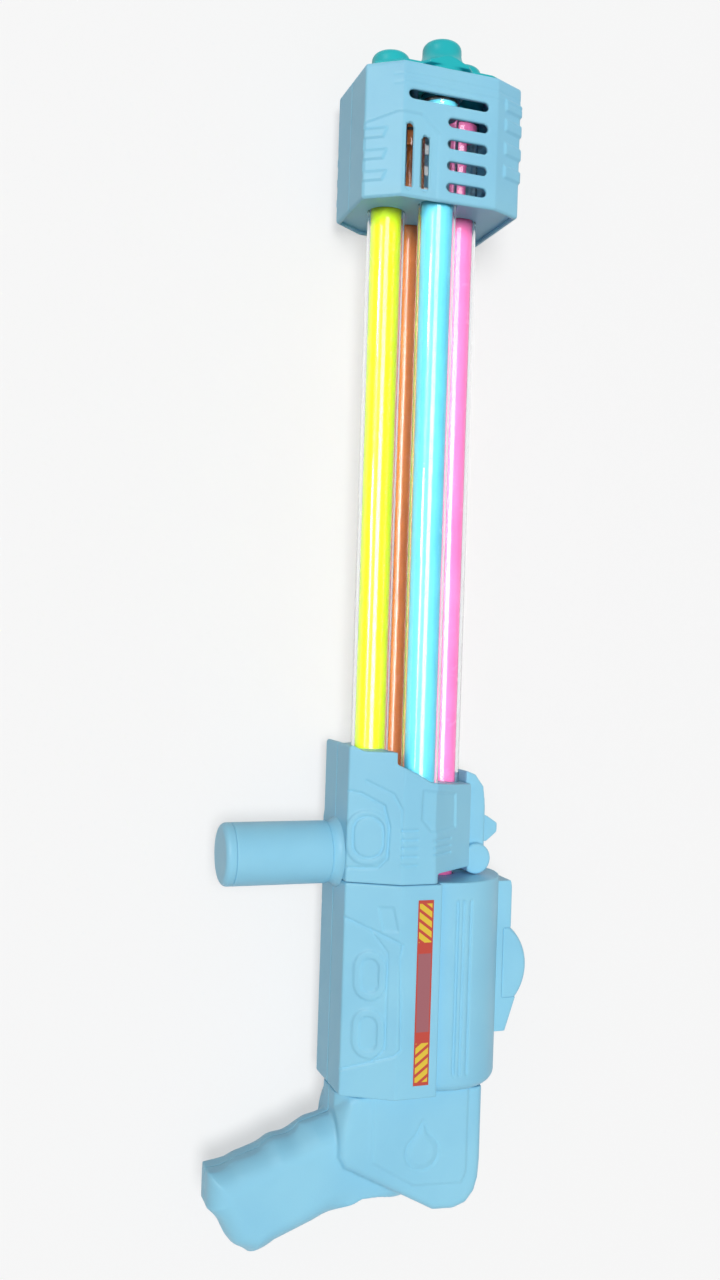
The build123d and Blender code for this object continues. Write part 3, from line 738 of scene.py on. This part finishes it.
@dataclass
class Finishes:
    """Every finish of the squirter, built once."""
    blue: bpy.types.Material = field(default_factory=lambda: MouldedPlastic(
        "Light blue plastic", (0.33, 0.72, 0.93), (0.30, 0.68, 0.90), glow=0.15).make())
    teal: bpy.types.Material = field(default_factory=lambda: MouldedPlastic(
        "Teal nozzle plastic", (0.02, 0.56, 0.60), (0.015, 0.50, 0.55), roughness=0.32).make())
    lime: bpy.types.Material = field(default_factory=lambda: MouldedPlastic(
        "Lime rod plastic", (0.62, 0.84, 0.0), (0.57, 0.80, 0.0), 0.22, 900.0, 0.00001, 0.08, 0.3).make())
    orange: bpy.types.Material = field(default_factory=lambda: MouldedPlastic(
        "Orange rod plastic", (0.85, 0.26, 0.06), (0.78, 0.22, 0.05), 0.22, 900.0, 0.00001, 0.08, 0.3).make())
    azure: bpy.types.Material = field(default_factory=lambda: MouldedPlastic(
        "Blue rod plastic", (0.12, 0.56, 0.72), (0.10, 0.51, 0.67), 0.22, 900.0, 0.00001, 0.08, 0.3).make())
    pink: bpy.types.Material = field(default_factory=lambda: MouldedPlastic(
        "Pink rod plastic", (1.0, 0.22, 0.52), (0.96, 0.18, 0.47), 0.22, 900.0, 0.00001, 0.08, 0.3).make())
    rubber: bpy.types.Material = field(default_factory=lambda: MouldedPlastic(
        "Seal rubber", (0.03, 0.03, 0.03), (0.05, 0.05, 0.05), 0.55, 1200.0, 0.00004, 0.2).make())
    white: bpy.types.Material = field(default_factory=lambda: MouldedPlastic(
        "Natural white plastic", (0.84, 0.85, 0.84), (0.80, 0.81, 0.80)).make())
    clear: bpy.types.Material = field(default_factory=lambda: ClearTube().make())
    sticker: bpy.types.Material = field(default_factory=lambda: StickerFilm().make())
    steel: bpy.types.Material = field(default_factory=lambda: PlatedSteel().make())


FINISH = Finishes()


def dressed(piece: bpy.types.Object, body: Body, material: bpy.types.Material, slot: str, *nodes: str) -> None:
    """Gives a finished piece its body and finish, and hides the solids it stands for.

    Args:
        piece: The piece.
        body: The body that it moves with.
        material: Its finish.
        slot: Not used.
        *nodes: The solids that it replaces.
    """
    piece.data.materials.clear()
    piece.data.materials.append(material)
    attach(piece, body.value)
    if nodes:
        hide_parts(*nodes)
    LOG.info("%s: %d faces", piece.name, len(piece.data.polygons))


def refinished(node: str, material: bpy.types.Material) -> None:
    """Gives a solid that keeps its own mesh its finish."""
    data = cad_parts[node].data
    data.materials.clear()
    data.materials.append(material)
    LOG.info("%s: finish %s", node, material.name)


def screw_unit() -> bpy.types.Object:
    """Pan-headed self-tapping screw along Z with a cross recess, its seat at 0 and its head below.

    Returns:
        The unit, about the origin.
    """
    thread = [(0.0, 23.6), (0.35, 23.4)]
    for turn in range(20):
        low = 22.6 - turn * 1.1
        thread += [(0.95, low), (1.24, low - 0.4), (0.95, low - 0.8)]
    thread += [(1.2, 0.2), (1.2, 0.0), (2.5, 0.0), (2.58, -0.3), (2.4, -1.1), (1.8, -1.6), (1.0, -1.78),
               (0.0, -1.8)]
    unit = turned("screw", thread, Vector((0, 0, 0)), Vector((0, 0, 1)), 32)
    cuts = []
    for wide, long in ((0.5, 2.6), (2.6, 0.5)):
        shape = bmesh.new()
        bmesh.ops.create_cube(shape, size=1.0)
        size = Matrix.Diagonal((wide * MM, long * MM, 1.6 * MM, 1))
        shape.transform(Matrix.Translation((0, 0, -1.8 * MM)) @ size)
        cuts.append(from_bmesh("cross", shape))
    return combined(unit, cuts, "DIFFERENCE")


@dataclass
class Screws:
    """One node's screws across the split plane."""
    node: str
    body: Body
    seat: float = -14.0

    def build(self) -> None:
        """Sets a screw on each solid of the node, driven from the right side."""
        shape = bmesh.new()
        shape.from_mesh(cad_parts[self.node].data)
        bmesh.ops.remove_doubles(shape, verts=shape.verts, dist=WELD)
        left, places = set(shape.verts), []
        while left:
            stack, island = [left.pop()], []
            while stack:
                vert = stack.pop()
                island.append(vert.co.copy())
                for edge in vert.link_edges:
                    other = edge.other_vert(vert)
                    if other in left:
                        left.remove(other)
                        stack.append(other)
            middle = sum(island, Vector()) / len(island)
            places.append(Vector((middle.x, middle.y, HOME.at(0, 0, self.seat).z)))
        shape.free()
        piece = COPIES.on_places(self.node + "_detailed", screw_unit(), places, material=FINISH.steel)
        dressed(piece, self.body, FINISH.steel, "screw_steel", self.node)


# Sub-assemblies

@dataclass
class Head:
    """Slotted eight-sided muzzle housing with its teal nozzle cap."""
    voxel: float = 0.56
    rib_stations: tuple[float, ...] = (258.6, 248.9, 237.5, 226.6)
    notch_stations: tuple[float, ...] = (237.0, 227.0, 217.0)
    panel_line: tuple[Point2, ...] = ((-44.0, 240.0), (-40.6, 241.1), (-25.5, 246.0), (-13.5, 245.8),
                                      (-4.6, 237.9), (-5.1, 200.0), (-44.0, 200.0))
    front_lines: tuple[float, ...] = (263.4, 259.4)

    def features(self) -> list[Groove | Panel]:
        """Relief on the head's sides and chamfers."""
        lines: list[Groove | Panel] = [Panel(self.panel_line, -0.7, 0.9)]
        lines += [Groove(((-27.0, y), (44.0, y)), 0.9, 0.25) for y in self.front_lines]
        for y in self.rib_stations:
            lines.append(Panel(((30.0, y - 2.8), (43.0, y - 2.8), (43.0, y + 2.8), (30.0, y + 2.8)), 0.9, 1.0))
        for y in self.notch_stations:
            lines.append(Panel(((-44.0, y - 2.4), (-31.0, y - 2.4), (-29.5, y + 1.8), (-44.0, y + 1.8)), 0.8, 0.9))
        return lines

    def build(self) -> None:
        """Builds the shells, the cap and the small parts inside."""
        for side in Side:
            node = "head_shell_" + side.name.lower()
            piece = softened(copied(node, node + "_moulded"), self.voxel, 2)
            dressed(pressed(piece, self.features()), Body.FRONT, FINISH.blue, "body_blue", node)
        cap = softened(copied("nozzle_cap", "nozzle_cap_moulded"), 0.45, 2)
        dressed(cap, Body.FRONT, FINISH.teal, "nozzle_teal", "nozzle_cap")
        refinished("head_bulkhead", FINISH.blue)
        refinished("nozzle_seals", FINISH.rubber)
        Screws("head_screws", Body.FRONT).build()


@dataclass
class Pump:
    """Clear barrels with their coloured rods, pistons, seals and bushes."""
    barrel_r: float = 9.2
    bore_r: float = 8.2
    rod_r: float = 7.4
    rod_front: float = 211.0
    rod_round: float = 1.4
    neck_r: float = 3.5
    piston_rear: float = 249.2
    groove_back: float = 8.0
    groove_half: float = 0.8
    groove_r: float = 6.6
    screw_bore: Point2 = (1.31, 9.15)

    def barrel(self, colour: str) -> None:
        """Builds one clear barrel with rounded lips."""
        low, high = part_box("barrel_" + colour)
        centre = (Vector(low) + Vector(high)) / 2
        half = (high[1] - low[1]) / 2 / MM
        lip = (self.barrel_r - self.bore_r) / 2
        middle_r = self.bore_r + lip
        profile = [(self.barrel_r, -half + lip), (self.barrel_r, half - lip)]
        profile += arc((middle_r, half - lip), lip, 20, 160, 5)
        profile += [(self.bore_r, half - lip), (self.bore_r, -half + lip)]
        profile += arc((middle_r, -half + lip), lip, 200, 340, 5)
        piece = turned("barrel_%s_clear" % colour, profile, centre, Vector((0, 1, 0)), 96)
        dressed(piece, Body.FRONT, FINISH.clear, "barrel_clear", "barrel_" + colour)

    def rod(self, colour: str, material: bpy.types.Material) -> None:
        """Builds one rod with its screw hole, neck and grooved piston."""
        low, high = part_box("plunger_" + colour)
        centre = Vector(((low[0] + high[0]) / 2, HOME.y, (low[2] + high[2]) / 2))
        front, rear = (high[1] - HOME.y) / MM, (low[1] - HOME.y) / MM
        piston_r = (high[0] - low[0]) / 2 / MM
        groove = front - self.groove_back
        low_lip, high_lip = groove - self.groove_half, groove + self.groove_half
        hole_r, hole_end = self.screw_bore[0], rear + self.screw_bore[1]
        shoulder = (self.rod_r - self.rod_round, self.rod_front - self.rod_round)
        profile = [(0.0, hole_end), (hole_r, hole_end), (hole_r, rear), (self.rod_r - 0.6, rear),
                   (self.rod_r, rear + 0.6), (self.rod_r, shoulder[1])]
        profile += arc(shoulder, self.rod_round, 15, 90, 5)
        profile += [(4.2, self.rod_front), (self.neck_r, self.rod_front + 0.8),
                    (self.neck_r, self.piston_rear - 1.5), (5.0, self.piston_rear),
                    (piston_r - 0.5, self.piston_rear), (piston_r, self.piston_rear + 0.5),
                    (piston_r, low_lip), (self.groove_r, low_lip),
                    (self.groove_r, high_lip), (piston_r, high_lip),
                    (piston_r, front - 0.6), (piston_r - 0.6, front), (0.0, front)]
        piece = turned("plunger_%s_turned" % colour, profile, centre, Vector((0, 1, 0)), 72)
        dressed(piece, Body.REAR, material, "rod_" + colour, "plunger_" + colour)

    def build(self) -> None:
        """Builds all four barrels and rods."""
        for colour, material in (("lime", FINISH.lime), ("orange", FINISH.orange), ("blue", FINISH.azure),
                                 ("pink", FINISH.pink)):
            self.barrel(colour)
            self.rod(colour, material)
        refinished("barrel_bushes", FINISH.white)
        refinished("piston_seals", FINISH.rubber)
        refinished("rod_yoke", FINISH.white)
        refinished("rod_end_screws", FINISH.steel)


@dataclass
class FrontHousing:
    """Housing round the barrels' rear ends, with the rail, the front sight and the side handle."""
    voxel: float = 0.56
    outer_line: tuple[Point2, ...] = ((-39.0, -71.4), (-29.8, -72.9), (-20.2, -78.2), (-17.9, -87.6), (-18.3, -103.0),
                                      (-22.2, -107.5), (-37.9, -108.4))
    inner_line: tuple[Point2, ...] = ((-28.0, -66.9), (-16.4, -72.6), (-12.6, -79.7), (-11.8, -103.2))
    slat_stations: tuple[float, ...] = (-89.6, -93.9, -97.7, -101.7, -105.9)
    panel: tuple[Point2, ...] = ((-2.3, -70.4), (18.4, -73.5), (18.9, -89.8), (2.4, -90.4), (-2.8, -84.6))
    vent_stations: tuple[float, ...] = (-94.4, -97.8, -101.2)

    def features(self) -> list[Groove | Panel]:
        """Relief on the housing's sides."""
        lines: list[Groove | Panel] = [Groove(self.outer_line, 1.5, 0.8), Groove(self.inner_line, 1.3, 0.6)]
        lines.append(Panel(oval(-26.9, -93.5, 16.8, 25.7), 0.8, 0.9))
        lines.append(Groove(oval(-26.4, -93.3, 12.6, 19.6), 1.5, 0.8, True))
        lines.append(Panel(self.panel, -0.8, 0.9))
        lines += [Groove(((-12.4, y), (-4.6, y)), 1.7, 0.8) for y in self.slat_stations]
        lines += [Groove(((4.0, y), (15.4, y)), 1.4, 0.7) for y in self.vent_stations]
        return lines

    def build(self) -> None:
        """Builds the shells, the rail, the sight and the handle."""
        for side in Side:
            node = "front_body_" + side.name.lower()
            piece = softened(copied(node, node + "_moulded"), self.voxel, 2)
            dressed(pressed(piece, self.features()), Body.FRONT, FINISH.blue, "body_blue", node)
        for node, voxel, rounds in (("top_rail", 0.45, 3), ("front_sight", 0.3, 24),
                                    ("side_handle_grip", 0.5, 2), ("side_handle_collar", 0.3, 2),
                                    ("side_handle_cap", 0.4, 6)):
            piece = softened(copied(node, node + "_moulded"), voxel, rounds)
            dressed(piece, Body.FRONT, FINISH.blue, "body_blue", node)
        refinished("front_bulkhead", FINISH.blue)
        refinished("side_handle_screw", FINISH.steel)
        Screws("front_body_screws", Body.FRONT).build()


@dataclass
class PumpHousing:
    """Middle housing with its ovals, label, fluted drum cover and rear sight."""
    voxel: float = 0.56
    frame_line: tuple[Point2, ...] = ((-35.6, -131.5), (-20.0, -138.4), (-10.2, -143.1), (-11.5, -149.0),
                                      (-10.4, -170.0), (-9.8, -192.4), (-13.0, -195.0), (-35.6, -203.4))
    inner_line: tuple[Point2, ...] = ((-24.0, -137.0), (-16.8, -147.0), (-16.8, -192.0), (-22.0, -198.0))
    facet: tuple[Point2, ...] = ((-21.3, -125.6), (-14.9, -125.6), (-12.6, -136.8), (-19.0, -136.8))
    flute_places: tuple[tuple[float, float], ...] = ((18.4, 0.6), (21.4, 0.6), (25.4, 0.5))

    def features(self) -> list[Groove | Panel]:
        """Relief on the middle housing's sides."""
        return [Groove(self.frame_line, 1.5, 0.8), Groove(self.inner_line, 1.2, 0.5), Panel(self.facet, -0.6, 0.9)]

    def drum_features(self) -> list[Groove | Panel]:
        """Relief along the drum cover."""
        return [Groove(((x, -124.0), (x, -207.5)), 1.5, depth) for x, depth in self.flute_places]

    def build(self) -> None:
        """Builds the shells, the cover, the labels and the sight."""
        for side in Side:
            node = "mid_body_" + side.name.lower()
            piece = softened(copied(node, node + "_moulded"), self.voxel, 2)
            dressed(pressed(piece, self.features()), Body.REAR, FINISH.blue, "body_blue", node)
            node = "drum_cover_" + side.name.lower()
            piece = softened(copied(node, node + "_moulded"), self.voxel, 2)
            dressed(pressed(piece, self.drum_features()), Body.REAR, FINISH.blue, "body_blue", node)
            refinished("label_" + side.name.lower(), FINISH.sticker)
        for node, voxel in (("sight_base", 0.4), ("sight_dome", 0.4)):
            piece = softened(copied(node, node + "_moulded"), voxel, 2)
            dressed(piece, Body.REAR, FINISH.blue, "body_blue", node)
        Screws("mid_body_screws", Body.REAR).build()
        Screws("drum_screws", Body.REAR).build()


@dataclass
class RearHousing:
    """Rear housing with the pistol grip and a raised water drop on its side panel."""
    voxel: float = 0.7
    wave: tuple[Point2, ...] = ((-30.0, -218.6), (-37.7, -228.7), (-45.7, -230.3), (-50.4, -234.7), (-55.3, -238.2),
                                (-63.0, -239.3), (-68.9, -243.2), (-79.2, -246.6), (-84.9, -249.0), (-94.6, -250.2))
    end: tuple[Point2, ...] = ((-94.6, -266.7), (-89.0, -273.0), (-83.1, -283.2), (-77.3, -287.4), (-72.5, -291.0),
                               (-66.7, -289.7), (-61.4, -285.8))
    back: tuple[Point2, ...] = ((-43.2, -278.5), (-21.0, -267.9), (-12.0, -268.1), (2.0, -271.5),
                                (60.0, -271.5), (60.0, -218.6))
    rounding: float = 11.0
    flat_share: float = 0.3
    blend_from: float = -24.0
    blend_to: float = -40.0
    panel: tuple[Point2, ...] = ((-18.7, -214.0), (-17.8, -248.7), (3.1, -261.6), (28.0, -263.0), (30.5, -258.0),
                                 (30.5, -214.0))
    drop: Point2 = (7.0, -243.0)
    drop_r: float = 8.5

    def drop_outline(self, grow: float = 0.0) -> tuple[Point2, ...]:
        """Outline of a water drop whose tip points to the nozzles.

        Args:
            grow: How much larger than the drop itself.

        Returns:
            The outline.
        """
        x, y = self.drop
        radius = self.drop_r + grow
        points = arc((x, y - 3.0), radius, 150, 390, 24)
        return tuple(points + [(x + radius * 0.32, y + radius * 0.75), (x, y + radius * 1.45),
                               (x - radius * 0.32, y + radius * 0.75)])

    def rounded(self, piece: bpy.types.Object) -> bpy.types.Object:
        """Rounds the grip across its width, so that its section is full in the middle and slim at its edges.

        Args:
            piece: One shell.

        Returns:
            The same shell.
        """
        mesh = piece.data
        places = np.empty(len(mesh.vertices) * 3)
        mesh.vertices.foreach_get("co", places)
        places = places.reshape(-1, 3)
        local = HOME.local(places)
        chosen = local[:, 0] < self.blend_from
        x, y = local[chosen, 0], local[chosen, 1]
        edge = flowing(self.wave) + flowing(self.end) + list(self.back)
        depth = np.where(inside(x, y, edge), path_distance(x, y, edge, True), 0.0)
        rise = np.sqrt(1 - (1 - np.minimum(depth, self.rounding) / self.rounding) ** 2)
        share = np.clip((self.blend_from - x) / (self.blend_from - self.blend_to), 0, 1)
        share = share * share * (3 - 2 * share)
        narrow = 1 - share * (1 - self.flat_share) * (1 - rise)
        places[chosen, 2] = HOME.z + (places[chosen, 2] - HOME.z) * narrow
        mesh.vertices.foreach_set("co", places.ravel())
        mesh.update()
        return piece

    def features(self) -> list[Groove | Panel]:
        """Relief on the rear housing's sides."""
        return [Panel(self.panel, 0.8, 0.9),
                Groove(self.drop_outline(), 1.6, 0.6, True), Panel(self.drop_outline(-2.2), 0.5, 0.9)]

    def build(self) -> None:
        """Builds the two shells."""
        for side in Side:
            node = "rear_body_" + side.name.lower()
            piece = self.rounded(softened(copied(node, node + "_moulded"), self.voxel, 4))
            dressed(pressed(piece, self.features()), Body.REAR, FINISH.blue, "body_blue", node)
        Screws("rear_body_screws", Body.REAR).build()


@dataclass
class Studio:
    """Pale floor, plain soft light and the camera at the photograph's angle."""
    lens: float = 34.09
    distance: float = 600.0
    slide: float = 24.2
    lean: float = 19.25
    roll: float = 1.81
    world: float = 0.26
    key: float = 2.1
    key_angle: float = 25.0
    key_way: tuple[float, float, float] = (0.20, -0.10, -1.0)
    windows: tuple[tuple[float, float, float], ...] = ((-900, 560, 700), (-900, 160, 700))
    window_size: float = 0.16
    window_watts: float = 3.0
    floor_size: float = 6.0
    floor_tone: float = 0.93
    floor_bounce: float = 0.38
    floor_glow: float = 0.55

    def camera(self) -> None:
        """Adds the camera."""
        lean, roll = math.radians(self.lean), math.radians(self.roll)
        flat = Vector((math.cos(lean), 0, math.sin(lean)))
        back = Vector((-math.sin(lean), 0, math.cos(lean)))
        right = flat * math.cos(roll) + Vector((0, math.sin(roll), 0))
        up = Vector((0, math.cos(roll), 0)) - flat * math.sin(roll)
        data = bpy.data.cameras.new("camera")
        data.lens, data.sensor_width, data.clip_start = self.lens, 36.0, 0.01
        camera = bpy.data.objects.new("camera", data)
        bpy.context.scene.collection.objects.link(camera)
        place = HOME.at(0, 0, 0) + (back * self.distance - right * self.slide) * MM
        camera.matrix_world = Matrix.Translation(place) @ Matrix((right, up, back)).transposed().to_4x4()
        bpy.context.scene.camera = camera

    def floor(self) -> None:
        """Adds the floor, which shows near white and keeps the object's shadow."""
        shape = bmesh.new()
        bmesh.ops.create_grid(shape, x_segments=8, y_segments=8, size=self.floor_size / 2)
        piece = from_bmesh("floor", shape)
        piece.location.z = -0.0002
        piece.data.transform(piece.matrix_basis)
        piece.matrix_basis = Matrix.Identity(4)
        material, tree, shader = nodes_of("Pale floor")
        nodes, links = tree.nodes, tree.links
        tone = nodes.new("ShaderNodeMix")
        tone.data_type = "RGBA"
        tone.inputs["A"].default_value = (*[self.floor_bounce] * 3, 1)
        tone.inputs["B"].default_value = (*[self.floor_tone] * 3, 1)
        links.new(tone.outputs["Result"], shader.inputs["Base Color"])
        shader.inputs["Roughness"].default_value = 0.8
        place, noise, bump = (nodes.new(kind) for kind in
                              ("ShaderNodeTexCoord", "ShaderNodeTexNoise", "ShaderNodeBump"))
        noise.inputs["Scale"].default_value = 300.0
        bump.inputs["Distance"].default_value = 0.00005
        links.new(place.outputs["Object"], noise.inputs["Vector"])
        links.new(noise.outputs["Fac"], bump.inputs["Height"])
        links.new(bump.outputs["Normal"], shader.inputs["Normal"])
        path, glow, mix = (nodes.new(kind) for kind in
                           ("ShaderNodeLightPath", "ShaderNodeEmission", "ShaderNodeMixShader"))
        glow.inputs["Strength"].default_value = 1.0
        seen = nodes.new("ShaderNodeMath")
        seen.operation, seen.use_clamp = "ADD", True
        links.new(path.outputs["Is Camera Ray"], seen.inputs[0])
        also = nodes.new("ShaderNodeMath")
        also.operation, also.use_clamp = "ADD", True
        links.new(path.outputs["Is Glossy Ray"], also.inputs[0])
        links.new(path.outputs["Is Transmission Ray"], also.inputs[1])
        links.new(also.outputs["Value"], seen.inputs[1])
        links.new(seen.outputs["Value"], tone.inputs["Factor"])
        share = nodes.new("ShaderNodeMath")
        share.operation = "MULTIPLY"
        share.inputs[1].default_value = self.floor_glow
        links.new(seen.outputs["Value"], share.inputs[0])
        links.new(share.outputs["Value"], mix.inputs["Fac"])
        links.new(shader.outputs["BSDF"], mix.inputs[1])
        links.new(glow.outputs["Emission"], mix.inputs[2])
        links.new(mix.outputs["Shader"], nodes["Material Output"].inputs["Surface"])
        piece.data.materials.append(material)

    def lamp(self, name: str, place: Sequence[float], size: float, watts: float) -> None:
        """Adds a square lamp that faces the squirter's middle and shows only in what shines.

        Args:
            name: The lamp's name.
            place: Where it stands about the bundle, in millimetres.
            size: Its side, in metres.
            watts: Its power.
        """
        data = bpy.data.lights.new(name, "AREA")
        data.size, data.energy = size, watts
        lamp = bpy.data.objects.new(name, data)
        bpy.context.scene.collection.objects.link(lamp)
        lamp.location = HOME.at(*place)
        aim = HOME.at(0, 0, 0) - lamp.location
        lamp.rotation_euler = aim.to_track_quat("-Z", "Y").to_euler()
        lamp.visible_diffuse = False

    def build(self) -> None:
        """Sets the whole studio up."""
        scene = bpy.context.scene
        scene.view_settings.view_transform = "Standard"
        world = bpy.data.worlds.new("Pale room")
        scene.world = world
        world.use_nodes = True
        nodes, links = world.node_tree.nodes, world.node_tree.links
        light = nodes["Background"]
        light.inputs["Color"].default_value = (1, 1, 1, 1)
        light.inputs["Strength"].default_value = self.world
        seen, path, mix = (nodes.new(kind) for kind in
                           ("ShaderNodeBackground", "ShaderNodeLightPath", "ShaderNodeMixShader"))
        seen.inputs["Color"].default_value = (1, 1, 1, 1)
        links.new(path.outputs["Is Camera Ray"], mix.inputs["Fac"])
        links.new(light.outputs["Background"], mix.inputs[1])
        links.new(seen.outputs["Background"], mix.inputs[2])
        links.new(mix.outputs["Shader"], nodes["World Output"].inputs["Surface"])
        self.floor()
        self.camera()
        sun = bpy.data.lights.new("key", "SUN")
        sun.energy, sun.angle = self.key, math.radians(self.key_angle)
        key = bpy.data.objects.new("key", sun)
        bpy.context.scene.collection.objects.link(key)
        key.rotation_euler = Vector(self.key_way).to_track_quat("-Z", "Y").to_euler()
        key.visible_glossy = False
        for name, place in zip(("window high", "window low"), self.windows):
            self.lamp(name, place, self.window_size, self.window_watts)


def main() -> None:
    """Builds the squirter and the studio."""
    logging.basicConfig(level=logging.INFO, format="%(name)s %(message)s")
    parts: list[Callable[[], object]] = [Studio, Head, Pump, FrontHousing, PumpHousing, RearHousing]
    for part in parts:
        part().build()


if __name__ == "__main__":
    main()
